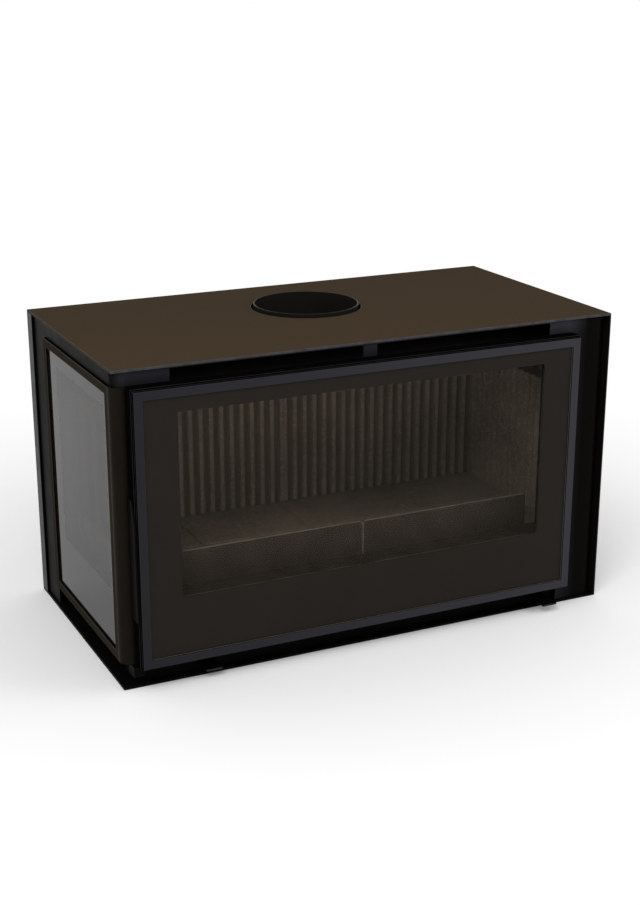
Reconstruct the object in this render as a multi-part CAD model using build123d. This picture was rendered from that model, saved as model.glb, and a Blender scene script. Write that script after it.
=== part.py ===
from build123d import *
import math
import os

# Built-in corner wood stove, glazed on the front and on the left, in millimetres.
# Everything is measured from the casing's front left bottom corner: x to the right, y to
# the back, z up. The last step moves the parts so that the origin is the base's centre.

# How far a cut reaches past the face that it opens
past = 1.0

# Casing: two plates, a closed back and a closed right side
case_w = 900.0
case_d = 460.0
case_h = 525.0
plate_t = 4.0
sheet_t = 2.0
back_flange_w = 26.0

# Convection jacket, the bent sheet that shows round the door
jacket_front = 5.0
jacket_left = 4.0
jacket_right_gap = 3.0
jacket_bend = 20.0
jacket_return = 60.0
jacket_tab_w = 34.0
jacket_tab_h = 22.0
window_margin = 6.0
pane_gap = 1.0

# Nose on the jacket's tab that takes the weight of the closed door
rest_left = 16.0
rest_reach = 10.0
rest_h = 18.0
rest_chamfer = 2.0
rest_cheek_t = 3.0
rest_cheek_l = 17.0

# Convection slots over the door and louvres in the back
slot_left = 95.0
slot_right_gap = 121.0
slot_tab_w = 25.0
slot_h = 28.0
slot_top_gap = 3.0
louvre_count = 14
louvre_w = 8.0
louvre_h = 44.0
louvre_pitch = 54.0
louvre_low_z = 150.0
louvre_top_gap = 77.0

# Door, with its front tier and the wider tier behind it
door_left = 25.0
door_right_gap = 80.0
door_low = 42.0
door_top_gap = 29.0
door_proud = 28.0
door_gap = 2.0
tier_depth = 7.0
tier_step = 3.0
face_w = 14.0
face_t = 3.0
wall_t = 3.0
rear_flange_t = 2.5
rear_edge_r = 8.0

# Glass, rope seal and the clips that hold the glass
glass_t = 4.0
glass_play = 2.0
tape_t = 0.5
tape_w = 9.0
rope_w = 10.0
rope_inset = 28.0
rope_depth = 8.0
rope_wall = 2.0
rope_crown = 3.0
seal_gap = 0.3
clip_w = 16.0
clip_t = 1.5
clip_reach = 11.0
clip_rise_from = 0.5
clip_rise_l = 4.5
clip_pad_reach = 12.0
screw_r = 2.5
screw_head_r = 4.2
screw_head_h = 2.4
screw_head_round = 1.0
clip_spread = 0.28

# Concealed door hinges
pivot_inset = 8.0
pivot_depth = 16.0
pin_r = 4.0
pin_play = 0.05
pin_end = 1.0
pin_chamfer = 0.8
arm_t = 5.0
arm_w = 10.0
arm_eye_r = 7.0
arm_play = 0.5
arm_slot_gap = 1.0
hinge_inset = 60.0
lug_h = 9.0
lug_w = 14.0
lug_d = 16.0
lug_corner_r = 5.0
notch_h = 7.0
notch_gap = 2.0

# Handle blade and latch at the free edge of the door
blade_t = 3.5
blade_gap = 1.0
blade_depth = 25.0
blade_below = 192.0
blade_shoulder_below = 31.0
blade_front_gap = 1.0
blade_chamfer = 0.6
axle_top_gap = 181.0
axle_depth = 19.0
axle_r = 4.0
axle_end = 3.0
head_r = 9.0
bearing_l = 8.0
bearing_h = 13.0
bearing_d = 9.0
bearing_corner_r = 3.0
tongue_t = 4.0
tongue_reach = 11.0
tongue_h = 6.0
tongue_hub_r = 7.0
barb_h = 4.0
barb_w = 4.5
keeper_w = 10.0
keeper_t = 4.0
keeper_lip = 5.0
latch_play = 0.5
latch_slot_h = 30.0
latch_slot_drop = 10.0
latch_slot_gap = 1.0

# Fixed pane on the left
side_front = 22.0
side_back_gap = 94.0
side_flange_x = 10.0

# Corner post between pane and door
post_r = 17.0
post_t = 3.0
post_front = 2.0
post_w = 20.0
post_top_gap = 28.0

# Firebox of welded plate
box_t = 4.0
box_left = side_flange_x
box_right_gap = 30.0
box_back_gap = 71.0
box_floor = 108.0
box_top_gap = 43.0
skirt_low = 56.0
mouth_left = 80.0
mouth_right_gap = 96.0
mouth_top_gap = 32.0
side_mouth_front = 52.0
side_mouth_back_gap = 50.0

# Refractory lining
brick_t = 27.0
brick_chamfer = 1.5
lining_t = 30.0
lining_top_gap = 94.0
jamb_t = 24.0
joint = 1.0
flute_pitch = 20.0
flute_r = 7.0
flute_depth = 5.0
hearth_front = 60.0
hearth_columns = 4
hearth_rows = 2
baffle_t = 25.0
baffle_front = 125.0
baffle_tilt = 6.0
baffle_back_gap = 3.0
hanger_w = 30.0
hanger_lip = 22.0
hanger_inset = 180.0
hanger_gap = 5.0
hanger_play = 1.0

# Steel inside the firebox
sill_front = 13.0
sill_hole_r = 4.0
sill_hole_pitch = 40.0
sill_hole_drop = 9.0
sill_bend = 2.0
fence_y = 49.0
fence_t = 3.0
fence_h = 61.0
fence_foot_w = 30.0
fence_foot_h = 12.0
fence_foot_inset = 0.2
fence_corner_r = 6.0
fence_gap = 2.0
fence_end_gap = 16.0
wash_depth = 45.0
wash_slot = 6.0
wash_h = 25.0
wash_bend = 3.0
riser_w = 34.0
riser_right_gap = 36.0
riser_front = 35.0
riser_depth = 21.0
floor_port_inset = 4.0

# Flue outlet
flue_r = 90.0
flue_wall = 2.5
flue_back = 182.0
flue_stand = 6.0
flue_hole_gap = 4.0
flue_edge = 1.0
collar_flange_w = 25.0
collar_flange_t = 4.0
collar_bolt_count = 4
bolt_r = 4.0
bolt_play = 0.5
bolt_head_r = 7.5
bolt_head_h = 5.0

# Plinth that carries the firebox and feeds it with air
plinth_front = 15.0
plinth_left = 25.0
plinth_inset = 8.0
plinth_bend = 10.0
spigot_r = 49.0
spigot_wall = 2.0
spigot_out = 35.0
spigot_flange_w = 2.5
spigot_flange_t = 3.0
spigot_gap = 2.0
spigot_stop_out = 5.0
spigot_stop_w = 3.0
spigot_stop_h = 1.5
spigot_edge = 1.0

# Air levers, each one plate with ports that slides under a duct
lever_w = 28.0
lever_t = 3.0
lever_z = 14.0
lever_corner_r = 1.5
lever_play = 1.5
lever_headroom = 4.0
slide_gap = 0.4
stroke = 33.0
primary_x = 147.0
secondary_right_gap = 119.0
primary_pulled = 10.0
secondary_pulled = 24.0
primary_tip = -20.0
port_l = 30.0
port_w = 44.0
port_pitch = 66.0
port_first = 95.0
shutter_w = 60.0
shutter_margin = 11.0
shutter_corner_r = 3.0
duct_w = 94.0
duct_l = 194.0
duct_front = 36.0
rail_t = 3.0
rail_lip = 4.5
rail_front = 66.0
rail_l = 156.0

# Worked out from the sizes above
inner_top = case_h - plate_t
slot_right = case_w - slot_right_gap
door_right = case_w - door_right_gap
door_high = case_h - door_top_gap
side_back = case_d - side_back_gap
post_top = case_h - post_top_gap
box_right = case_w - box_right_gap
box_back = case_d - box_back_gap
box_roof = case_h - box_top_gap
mouth_right = box_right - mouth_right_gap
mouth_top = box_roof - mouth_top_gap
side_mouth_back = side_back - side_mouth_back_gap
lining_top = box_roof - lining_top_gap
riser_left = box_right - riser_right_gap - riser_w
flue_y = case_d - flue_back
secondary_x = case_w - secondary_right_gap
duct_back = duct_front + duct_l
rail_back = rail_front + rail_l
axle_z = door_high - axle_top_gap
blade_low = axle_z - blade_below
blade_shoulder = axle_z - blade_shoulder_below
side_panel_x = case_w - sheet_t
back_panel_y = case_d - sheet_t
jacket_right = side_panel_x - jacket_right_gap
seat_y = jacket_front + sheet_t
door_face = -door_proud
door_back = jacket_front - door_gap
tier_y = door_face + tier_depth
glass_y = door_face + face_t + tape_t
rope_channel_w = rope_w + 2 * rope_wall
rope_floor_y = door_back - rope_depth
door_mid_x = (door_left + door_right) / 2
door_mid_z = (door_low + door_high) / 2
pivot_x = door_right - pivot_inset
pivot_y = door_face + pivot_depth
axle_y = door_face + axle_depth
blade_x = door_left - tier_step - blade_gap - blade_t
hearth_z = box_floor + box_t + brick_t
box_bend = jacket_bend - sheet_t
chamber_bend = box_bend - box_t
chamber_left = box_left + box_t
chamber_right = box_right - box_t
chamber_back = box_back - box_t
lining_front = chamber_back - lining_t
plinth_right = box_right - plinth_inset
plinth_back = box_back - box_t - joint
duct_floor = lever_z + lever_t + slide_gap
shutter_l = port_pitch + port_l + 2 * shutter_margin
spigot_z = (plate_t + box_floor) / 2
flue_x = case_w / 2
fence_split = flue_x - fence_gap / 2


def block(x, y, z):
    """A solid between two limits along each axis."""
    middle = Pos((x[0] + x[1]) / 2, (y[0] + y[1]) / 2, (z[0] + z[1]) / 2)
    return middle * Box(x[1] - x[0], y[1] - y[0], z[1] - z[0])


def grown(limits, by):
    """The same limits, moved outwards by a distance."""
    return (limits[0] - by, limits[1] + by)


def front_ring(x, z, width, y):
    """A rectangular ring that faces the front, its outside at x and z."""
    return block(x, y, z) - block(grown(x, -width), grown(y, past), grown(z, -width))


def side_ring(y, z, width, x):
    """A rectangular ring that faces the left, its outside at y and z."""
    return block(x, y, z) - block(grown(x, past), grown(y, -width), grown(z, -width))


def bent_sheet(line, low, high, thickness=sheet_t):
    """Sheet bent along a line in plan, the line being its middle."""
    ribbon = trace(line, line_width=thickness)
    return extrude(Pos(0, 0, low) * ribbon, amount=high - low)


def lengthways(shape, x):
    """A shape drawn in y and z, standing parallel to the left side and starting at x."""
    return Pos(x, 0, 0) * Rot(0, 0, 90) * Rot(90, 0, 0) * shape


def rod_x(radius, x, y, z):
    """A round bar along x between two limits."""
    return Pos((x[0] + x[1]) / 2, y, z) * Rot(0, 90, 0) * Cylinder(radius, x[1] - x[0])


def rod_y(radius, x, y, z):
    """A round bar along y between two limits."""
    return Pos(x, (y[0] + y[1]) / 2, z) * Rot(90, 0, 0) * Cylinder(radius, y[1] - y[0])


def rod_z(radius, x, y, z):
    """A round bar along z between two limits."""
    return Pos(x, y, (z[0] + z[1]) / 2) * Cylinder(radius, z[1] - z[0])


# Casing

def bottom_plate():
    return block((0, case_w), (0, case_d), (0, plate_t))


def top_plate():
    hole_r = flue_r + flue_wall + flue_hole_gap
    plate = block((0, case_w), (0, case_d), (inner_top, case_h))
    return plate - rod_z(hole_r, flue_x, flue_y, grown((inner_top, case_h), past))


def back_panel():
    half = sheet_t / 2
    line = Polyline(
        (half, case_d - back_flange_w), (half, case_d - half), (side_panel_x, case_d - half)
    )
    panel = bent_sheet(line, plate_t, inner_top)
    louvre = extrude(SlotOverall(louvre_h, louvre_w, rotation=90), amount=2 * case_d)
    for z in (louvre_low_z, case_h - louvre_top_gap):
        row = GridLocations(louvre_pitch, 1, louvre_count, 1)
        for place in row:
            x = case_w / 2 + place.position.X
            panel -= Pos(x, case_d + case_d, z) * Rot(90, 0, 0) * louvre
    through = grown((back_panel_y, case_d), past)
    return panel - rod_y(spigot_r + spigot_gap, flue_x, through, spigot_z)


def right_side_panel():
    return block((side_panel_x, case_w), (0, case_d), (plate_t, inner_top))


def jacket_line():
    """The jacket in plan: up the left side, along the front and round to the right."""
    half = sheet_t / 2
    return FilletPolyline(
        (jacket_left + half, back_panel_y),
        (jacket_left + half, jacket_front + half),
        (jacket_right - half, jacket_front + half),
        (jacket_right - half, jacket_return),
        radius=jacket_bend - half,
    )


def hinge_heights():
    return (door_low + hinge_inset, door_high - hinge_inset)


def convection_jacket():
    sheet = bent_sheet(jacket_line(), plate_t, inner_top)
    through = (-case_d, seat_y + past)
    front = (door_left + rope_inset - window_margin, door_right - rope_inset + window_margin)
    height = (door_low + rope_inset - window_margin, door_high - rope_inset + window_margin)
    sheet -= block(front, through, height)
    sheet -= block((-past, jacket_left + sheet_t + past), grown((side_front, side_back), pane_gap),
                   grown((door_low, door_high), pane_gap))
    middle = (slot_left + slot_right) / 2
    top = (inner_top - slot_top_gap - slot_h, inner_top - slot_top_gap)
    sheet -= block((slot_left, middle - slot_tab_w / 2), through, top)
    sheet -= block((middle + slot_tab_w / 2, slot_right), through, top)
    deep = (-past, side_back)
    sheet -= block((-past, door_right - tier_step), deep, (0, door_low - jacket_tab_h))
    sheet -= block((jacket_tab_w, door_right - tier_step), deep, (0, door_low))
    sheet -= block((-past, rest_left + rest_cheek_t), deep, (0, door_low))
    for z in hinge_heights():
        sheet -= block(grown((pivot_x - arm_w / 2, pivot_x + arm_w / 2), arm_slot_gap), through,
                       grown((z - arm_t / 2, z + arm_t / 2), arm_slot_gap))
    return sheet


def corner_post():
    half = post_t / 2
    line = FilletPolyline(
        (half, side_front - pane_gap),
        (half, post_front + half),
        (post_w, post_front + half),
        radius=post_r - half,
    )
    return bent_sheet(line, door_low, post_top, post_t)


def door_rest():
    """The nose that takes the door's weight when it closes, with its cheek beside the tab."""
    top = door_low - tier_step - latch_play
    z = (top - rest_h, top)
    nose = block((rest_left, jacket_tab_w), (jacket_front - rest_reach, jacket_front), z)
    nose = chamfer(nose.edges().filter_by(Axis.X).group_by(Axis.Y)[0], rest_chamfer)
    cheek = block((rest_left, rest_left + rest_cheek_t), (jacket_front, jacket_front + rest_cheek_l), z)
    return nose + cheek


# Firebox

def firebox_shell():
    outside = ((box_left, box_right), (seat_y, box_back), (skirt_low, box_roof))
    chamber = [grown(side, -box_t) for side in outside[:2]]
    under = ((chamber_left, box_right + past), (seat_y + box_t, box_back + past))
    shell = left_front_bend(block(*outside), box_bend)
    shell -= left_front_bend(block(*chamber, (box_floor + box_t, box_roof - box_t)), chamber_bend)
    skirt = (skirt_low - past, box_floor)
    shell -= left_front_bend(block(*under, skirt), chamber_bend)
    shell -= block((box_left - past, chamber_left), (side_back, box_back + past), skirt)
    mouth_z = (hearth_z, mouth_top)
    shell -= block((mouth_left, mouth_right), grown((seat_y, seat_y + box_t), past), mouth_z)
    shell -= block(grown((box_left, chamber_left), past), (side_mouth_front, side_mouth_back), mouth_z)
    shell -= rod_z(flue_r + flue_wall, flue_x, flue_y, grown((box_roof - box_t, box_roof), past))
    floor = grown((box_floor, box_floor + box_t), past)
    ports_y = (riser_front + floor_port_inset, riser_front + riser_depth - sheet_t)
    shell -= block((primary_x - port_w / 2, primary_x + port_w / 2), ports_y, floor)
    shell -= block((riser_left + sheet_t, riser_left + riser_w - sheet_t), ports_y, floor)
    return shell


def left_front_bend(solid, radius):
    """The same solid with its upright edge at the front left rounded."""
    edge = solid.edges().filter_by(Axis.Z).group_by(Axis.X)[0].sort_by(Axis.Y)[0]
    return fillet(edge, radius)


def flue_collar():
    inner, outer = flue_r, flue_r + flue_wall
    flange_r = flue_r + collar_flange_w
    top = case_h + flue_stand
    drawn = Polygon(
        (inner, box_roof), (flange_r, box_roof), (flange_r, box_roof + collar_flange_t),
        (outer, box_roof + collar_flange_t), (outer, top - flue_edge), (outer - flue_edge, top),
        (inner + flue_edge / 2, top), (inner, top - flue_edge / 2), align=None,
    )
    collar = Pos(flue_x, flue_y, 0) * revolve(Plane.XZ * drawn, axis=Axis.Z)
    for place in collar_bolt_places():
        collar -= place * Cylinder(bolt_r + bolt_play, 4 * collar_flange_t)
    return collar


def collar_bolt_places():
    ring = PolarLocations(flue_r + (flue_wall + collar_flange_w) / 2, collar_bolt_count, start_angle=45)
    return [Pos(flue_x, flue_y, box_roof) * place for place in ring]


def collar_bolts():
    bolts = []
    for place in collar_bolt_places():
        head = Pos(0, 0, collar_flange_t + bolt_head_h / 2) * extrude(
            RegularPolygon(bolt_head_r, 6), amount=bolt_head_h / 2, both=True)
        shank = Pos(0, 0, collar_flange_t / 2) * Cylinder(bolt_r, collar_flange_t)
        bolts.append(place * (head + shank))
    return Compound(bolts)


# Lining

def fluted(panel, x, front, z):
    """Rounded vertical grooves in the front face of an upright panel."""
    count = int((x[1] - x[0]) / flute_pitch)
    middle = (x[0] + x[1]) / 2
    depth = flute_r - flute_depth
    for place in GridLocations(flute_pitch, 1, count, 1):
        panel -= rod_z(flute_r, middle + place.position.X, front - depth, grown(z, past))
    return panel


def back_lining(x):
    z = (box_floor + box_t, lining_top)
    return fluted(block(x, (lining_front, chamber_back), z), x, lining_front, z)


def lining_split():
    return (chamber_left + chamber_right) / 2


def right_lining():
    y = (hearth_front + joint, lining_front - joint)
    z = (box_floor + box_t, lining_top)
    panel = fluted(block(y, (0, lining_t), z), y, 0, z)
    return Pos(chamber_right - lining_t, 0, 0) * mirror(Rot(0, 0, 90) * panel, Plane.YZ)


def left_jamb_lining():
    y = (side_mouth_back + joint, lining_front - joint)
    jamb = block((chamber_left, chamber_left + jamb_t), y, (hearth_z + joint, lining_top))
    edge = jamb.edges().filter_by(Axis.Z).sort_by(Axis.X)[-2:].sort_by(Axis.Y)[0]
    return fillet(edge, jamb_t / 3)


def hearth_bricks():
    x = (chamber_left, chamber_right - lining_t - joint)
    y = (hearth_front, lining_front - joint)
    width = (x[1] - x[0] - (hearth_columns - 1) * joint) / hearth_columns
    depth = (y[1] - y[0] - (hearth_rows - 1) * joint) / hearth_rows
    brick = chamfer(Box(width, depth, brick_t).edges().group_by(Axis.Z)[-1], brick_chamfer)
    centre = Pos((x[0] + x[1]) / 2, (y[0] + y[1]) / 2, box_floor + box_t + brick_t / 2)
    grid = GridLocations(width + joint, depth + joint, hearth_columns, hearth_rows)
    return Compound([centre * place * brick for place in grid])


def baffle_plate():
    depth = chamber_back - baffle_front
    x = (chamber_left + joint, chamber_right - joint)
    plate = block(x, (-depth, 0), (0, baffle_t))
    back = Pos(0, chamber_back - baffle_back_gap, lining_top + seal_gap)
    return back * Rot(-baffle_tilt, 0, 0) * plate


def baffle_hangers():
    """Straps from the roof that carry the baffle's front edge."""
    roof = box_roof - box_t
    rise = math.tan(math.radians(baffle_tilt))
    low = lining_top + (chamber_back - baffle_front) * rise - sheet_t - hanger_play
    y = baffle_front - hanger_gap - sheet_t / 2
    drawn = Polyline((y, roof), (y, low), (y + hanger_lip, low - hanger_lip * rise))
    strap = extrude(trace(drawn, line_width=sheet_t), amount=hanger_w)
    hangers = []
    for x in (chamber_left + hanger_inset, lining_split(), chamber_right - hanger_inset):
        hangers.append(lengthways(strap, x - hanger_w / 2))
    return Compound(hangers)


# Steel round the fire

def sill_channel():
    """The perforated step behind the door that feeds primary air to the fire."""
    half = sheet_t / 2
    low, high = box_floor + box_t, hearth_z
    front, back = sill_front + half, hearth_front - joint - half
    drawn = FilletPolyline((front, low), (front, high - half), (back, high - half), (back, low),
                           radius=sill_bend)
    x = (chamber_left + chamber_bend, riser_left - joint)
    channel = lengthways(extrude(trace(drawn, line_width=sheet_t), amount=x[1] - x[0]), x[0])
    count = int((x[1] - x[0]) / sill_hole_pitch) - 1
    for place in GridLocations(sill_hole_pitch, 1, count, 1):
        centre = (x[0] + x[1]) / 2 + place.position.X
        channel -= rod_y(sill_hole_r, centre, grown((back, back), sheet_t), high - sill_hole_drop)
    return channel


def fence_plate(length):
    """One log fence plate, with rounded top corners and two bent feet."""
    plate = Rectangle(length, fence_h, align=(Align.MIN, Align.MIN))
    plate = fillet(plate.vertices().group_by(Axis.Y)[-1], fence_corner_r)
    face = extrude(plate, amount=fence_t)
    foot = Box(fence_foot_w, fence_t, fence_foot_h, align=(Align.CENTER, Align.MIN, Align.MIN))
    feet = [Pos(length * share, 0, fence_t) * foot for share in (fence_foot_inset, 1 - fence_foot_inset)]
    return face + feet[0] + feet[1]


def log_fence_left():
    x = chamber_left + fence_end_gap
    length = fence_split - fence_gap / 2 - x
    return Pos(x, fence_y + fence_t, hearth_z) * Rot(90, 0, 0) * fence_plate(length)


def log_fence_right():
    x = fence_split + fence_gap / 2
    return Pos(x, fence_y + fence_t, hearth_z) * Rot(90, 0, 0) * fence_plate(mouth_right - x)


def side_log_fence():
    length = side_mouth_back - hearth_front - 2 * joint
    start = Pos(chamber_left + fence_end_gap, hearth_front + joint, hearth_z)
    return start * Rot(0, 0, 90) * Rot(90, 0, 0) * fence_plate(length)


def air_wash_channel():
    """The shelf that turns secondary air down over the inside of the glass."""
    half = sheet_t / 2
    roof = box_roof - box_t
    front = seat_y + box_t + wash_slot
    back = front + wash_depth
    drawn = FilletPolyline((front, roof - wash_h + half), (back, roof - wash_h + half), (back, roof),
                           radius=wash_bend)
    x = (chamber_left + chamber_bend, chamber_right - joint)
    channel = lengthways(extrude(trace(drawn, line_width=sheet_t), amount=x[1] - x[0]), x[0])
    port = block((riser_left + sheet_t, riser_left + riser_w - sheet_t),
                 (riser_front + sheet_t, riser_front + riser_depth - sheet_t),
                 grown((roof - wash_h, roof - wash_h + sheet_t), past))
    return channel - port


def air_riser():
    x = (riser_left, riser_left + riser_w)
    y = (riser_front, riser_front + riser_depth)
    z = (box_floor + box_t, box_roof - box_t - wash_h)
    return block(x, y, z) - block(grown(x, -sheet_t), grown(y, -sheet_t), grown(z, past))


# Plinth and air supply

def plinth_frame():
    width = plinth_right - plinth_left
    depth = plinth_back - plinth_front
    outline = RectangleRounded(width, depth, plinth_bend)
    inside = RectangleRounded(width - 2 * sheet_t, depth - 2 * sheet_t, plinth_bend - sheet_t)
    centre = Pos((plinth_left + plinth_right) / 2, (plinth_front + plinth_back) / 2, plate_t)
    frame = centre * extrude(outline - inside, amount=box_floor - plate_t)
    for x in (primary_x, secondary_x):
        frame -= block((x - lever_w / 2 - lever_play, x + lever_w / 2 + lever_play),
                       grown((plinth_front, plinth_front + sheet_t), past),
                       (lever_z - lever_play, lever_z + lever_t + lever_headroom))
    return frame - rod_y(spigot_r, flue_x, grown((plinth_back - sheet_t, plinth_back), past), spigot_z)


def air_spigot():
    inner, outer = spigot_r - spigot_wall, spigot_r
    stop = case_d + spigot_stop_out - plinth_back
    end = case_d + spigot_out - plinth_back
    drawn = Polygon(
        (inner, 0), (outer + spigot_flange_w, 0), (outer + spigot_flange_w, spigot_flange_t),
        (outer, spigot_flange_t), (outer, stop - spigot_stop_w),
        (outer + spigot_stop_h, stop - spigot_stop_w), (outer + spigot_stop_h, stop), (outer, stop), (outer, end - spigot_edge),
        (outer - spigot_edge / 2, end), (inner, end), align=None,
    )
    spigot = revolve(Plane.XZ * drawn, axis=Axis.Z)
    return Pos(flue_x, plinth_back, spigot_z) * Rot(-90, 0, 0) * spigot


def port_places():
    return [port_first, port_first + port_pitch]


def air_duct(x, left, right):
    """A duct from the ports over one lever up to the firebox floor."""
    sides = ((left, right), (duct_front, duct_back))
    z = (duct_floor, box_floor)
    duct = block(*sides, z)
    duct -= block(*(grown(side, -sheet_t) for side in sides), (duct_floor + sheet_t, box_floor + past))
    for y in port_places():
        duct -= block((x - port_w / 2, x + port_w / 2), (y - port_l / 2, y + port_l / 2),
                      grown((duct_floor, duct_floor + sheet_t), past))
    return duct


def primary_air_duct():
    return air_duct(primary_x, primary_x - duct_w / 2, primary_x + duct_w / 2)


def secondary_air_duct():
    return air_duct(secondary_x, secondary_x - duct_w / 2, riser_left + riser_w)


def lever_rails(x):
    """Two rails under a duct that carry one lever plate."""
    wall = (x + shutter_w / 2 + slide_gap, x + shutter_w / 2 + slide_gap + rail_t)
    lip = (wall[0] - rail_lip, wall[1])
    y = (rail_front, rail_back)
    under = lever_z - slide_gap
    rail = block(wall, y, (under - sheet_t, duct_floor)) + block(lip, y, (under - sheet_t, under))
    return [rail, mirror(rail, Plane.YZ.offset(x))]


def all_lever_rails():
    return Compound(lever_rails(primary_x) + lever_rails(secondary_x))


def air_lever(x, pulled):
    """A flat lever whose back end is the shutter under its duct."""
    shift = stroke - pulled
    tip = primary_tip - (pulled - primary_pulled)
    back = port_first - port_l / 2 - shutter_margin + shift
    y = (back, back + shutter_l)
    shutter = Pos(x, (y[0] + y[1]) / 2) * RectangleRounded(shutter_w, y[1] - y[0], shutter_corner_r)
    bar_end = back + shutter_margin
    bar = Pos(x, (tip + bar_end) / 2) * RectangleRounded(lever_w, bar_end - tip, lever_corner_r)
    outline = shutter + bar
    for port in port_places():
        outline -= Pos(x, port + shift) * Rectangle(port_w, port_l)
    return Pos(0, 0, lever_z) * extrude(outline, amount=lever_t)


# Fixed pane

def side_z():
    return (door_low, door_high)


def side_frame():
    y = (side_front, side_back)
    face = side_ring(y, side_z(), face_w, (0, face_t))
    return face + side_ring(y, side_z(), wall_t, (face_t, side_flange_x))


def side_glass():
    edge = wall_t + glass_play / 2
    y = grown((side_front, side_back), -edge)
    return block((face_t + tape_t, face_t + tape_t + glass_t), y, grown(side_z(), -edge))


def side_glass_seal():
    edge = wall_t + glass_play / 2
    y = grown((side_front, side_back), -edge)
    x = (face_t + tape_t + glass_t, side_flange_x)
    return side_ring(y, grown(side_z(), -edge), rope_w, x)


# Door

def door_x():
    return (door_left, door_right)


def door_z():
    return (door_low, door_high)


def door_frame():
    """Front tier, wider back tier, rope channel and the flange that joins them."""
    wide = block(grown(door_x(), tier_step), (tier_y, door_back), grown(door_z(), tier_step))
    corner = wide.edges().filter_by(Axis.Z).sort_by(Axis.X)[-2:].sort_by(Axis.Y)[-1]
    wide = fillet(corner, rear_edge_r)
    body = wide + block(door_x(), (door_face, tier_y), door_z())
    hollow_y = (door_face + face_t, door_back - rear_flange_t)
    body -= block(grown(door_x(), -wall_t), hollow_y, grown(door_z(), -wall_t))
    body -= block(grown(door_x(), -face_w), grown((door_face, door_face + face_t), past),
                  grown(door_z(), -face_w))
    body -= block(grown(door_x(), -rope_inset), (hollow_y[0], door_back + past),
                  grown(door_z(), -rope_inset))
    body += rope_channel()
    for z in hinge_heights():
        body -= block((pivot_x - lug_w / 2 - notch_gap, door_right + tier_step + past),
                      (tier_y + arm_play, door_back + past), (z - notch_h / 2, z + notch_h / 2))
    left_wall = grown((door_left - tier_step, door_left + wall_t), past)
    body -= rod_x(axle_r + pin_play, left_wall, axle_y, axle_z)
    return body - block(latch_x(), grown((hollow_y[1], door_back), past), latch_slot_z())


def rope_channel():
    x, z = grown(door_x(), -rope_inset), grown(door_z(), -rope_inset)
    y = (rope_floor_y - rope_wall, door_back)
    ring = front_ring(x, z, rope_channel_w, y)
    return ring - front_ring(grown(x, -rope_wall), grown(z, -rope_wall), rope_w,
                             (rope_floor_y, door_back + past))


def rope_seal():
    """The rope in its channel, rounded where it meets the firebox."""
    x, z = grown(door_x(), -rope_inset - rope_wall), grown(door_z(), -rope_inset - rope_wall)
    rope = front_ring(x, z, rope_w, (rope_floor_y, seat_y - seal_gap))
    return chamfer(rope.faces().sort_by(Axis.Y)[-1].edges(), rope_crown)


def door_glass():
    edge = wall_t + glass_play
    return block(grown(door_x(), -edge), (glass_y, glass_y + glass_t), grown(door_z(), -edge))


def door_glass_tape():
    edge = wall_t + glass_play
    y = (door_face + face_t, glass_y)
    return front_ring(grown(door_x(), -edge), grown(door_z(), -edge), tape_w, y)


def clip_places():
    """Two clips on each side of the glass, as turn, distance from the middle and offset."""
    half_w = (door_right - door_left) / 2 - rope_inset
    half_h = (door_high - door_low) / 2 - rope_inset
    places = []
    for turn, reach, run in ((0, half_w, half_h), (180, half_w, half_h),
                             (90, half_h, half_w), (270, half_h, half_w)):
        for side in (-1, 1):
            places.append((turn, reach, side * run * 2 * clip_spread))
    return places


def placed_clip(shape, turn, reach, along):
    """A clip part drawn for the left side, turned to its own side of the door."""
    centre = Pos(door_mid_x, 0, door_mid_z) * Rot(0, turn, 0)
    return centre * Pos(-reach, 0, along) * shape


def clip():
    """A bent clip from the rope channel to the back of the glass."""
    foot_y = rope_floor_y - rope_wall - clip_t / 2
    pad_y = glass_y + glass_t + clip_t / 2
    line = Polyline((clip_reach, foot_y), (clip_rise_from, foot_y),
                    (clip_rise_from - clip_rise_l, pad_y), (-clip_pad_reach, pad_y))
    return bent_sheet(line, -clip_w / 2, clip_w / 2, clip_t)


def clip_screw():
    foot_y = rope_floor_y - rope_wall - clip_t
    head = rod_y(screw_head_r, clip_reach / 2, (foot_y - screw_head_h, foot_y), 0)
    return fillet(head.edges().group_by(Axis.Y)[0], screw_head_round)


def glass_clips():
    return Compound([placed_clip(clip(), *place) for place in clip_places()])


def clip_screws():
    return Compound([placed_clip(clip_screw(), *place) for place in clip_places()])


# Hinges

def hinge_arm(z):
    """A fixed arm with an eye that reaches into the door's hollow stile."""
    eye = Pos(pivot_x, pivot_y) * Circle(arm_eye_r)
    shank = Pos(pivot_x, (pivot_y + seat_y) / 2) * Rectangle(arm_w, seat_y - pivot_y)
    flat = eye + shank - Pos(pivot_x, pivot_y) * Circle(pin_r + pin_play)
    return Pos(0, 0, z - arm_t / 2) * extrude(flat, amount=arm_t)


def hinge_arms():
    return Compound([hinge_arm(z) for z in hinge_heights()])


def hinge_blocks():
    """Two lugs over and under each arm, fixed to the inside of the stile."""
    wall = door_right - wall_t
    lug = block((wall - lug_w, wall), (pivot_y - lug_d / 2, pivot_y + lug_d / 2), (0, lug_h))
    edges = lug.edges().filter_by(Axis.Z).sort_by(Axis.X)[:2]
    lug = fillet(edges, lug_corner_r) - rod_z(pin_r, pivot_x, pivot_y, grown((0, lug_h), past))
    start = arm_t / 2 + arm_play
    lugs = []
    for z in hinge_heights():
        lugs.append(Pos(0, 0, z + start) * lug)
        lugs.append(Pos(0, 0, z - start - lug_h) * lug)
    return Compound(lugs)


def hinge_pins():
    half = arm_t / 2 + arm_play + lug_h + pin_end
    pins = []
    for z in hinge_heights():
        pin = rod_z(pin_r, pivot_x, pivot_y, (z - half, z + half))
        pins.append(chamfer(pin.edges().filter_by(GeomType.CIRCLE), pin_chamfer))
    return Compound(pins)


# Handle and latch

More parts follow.
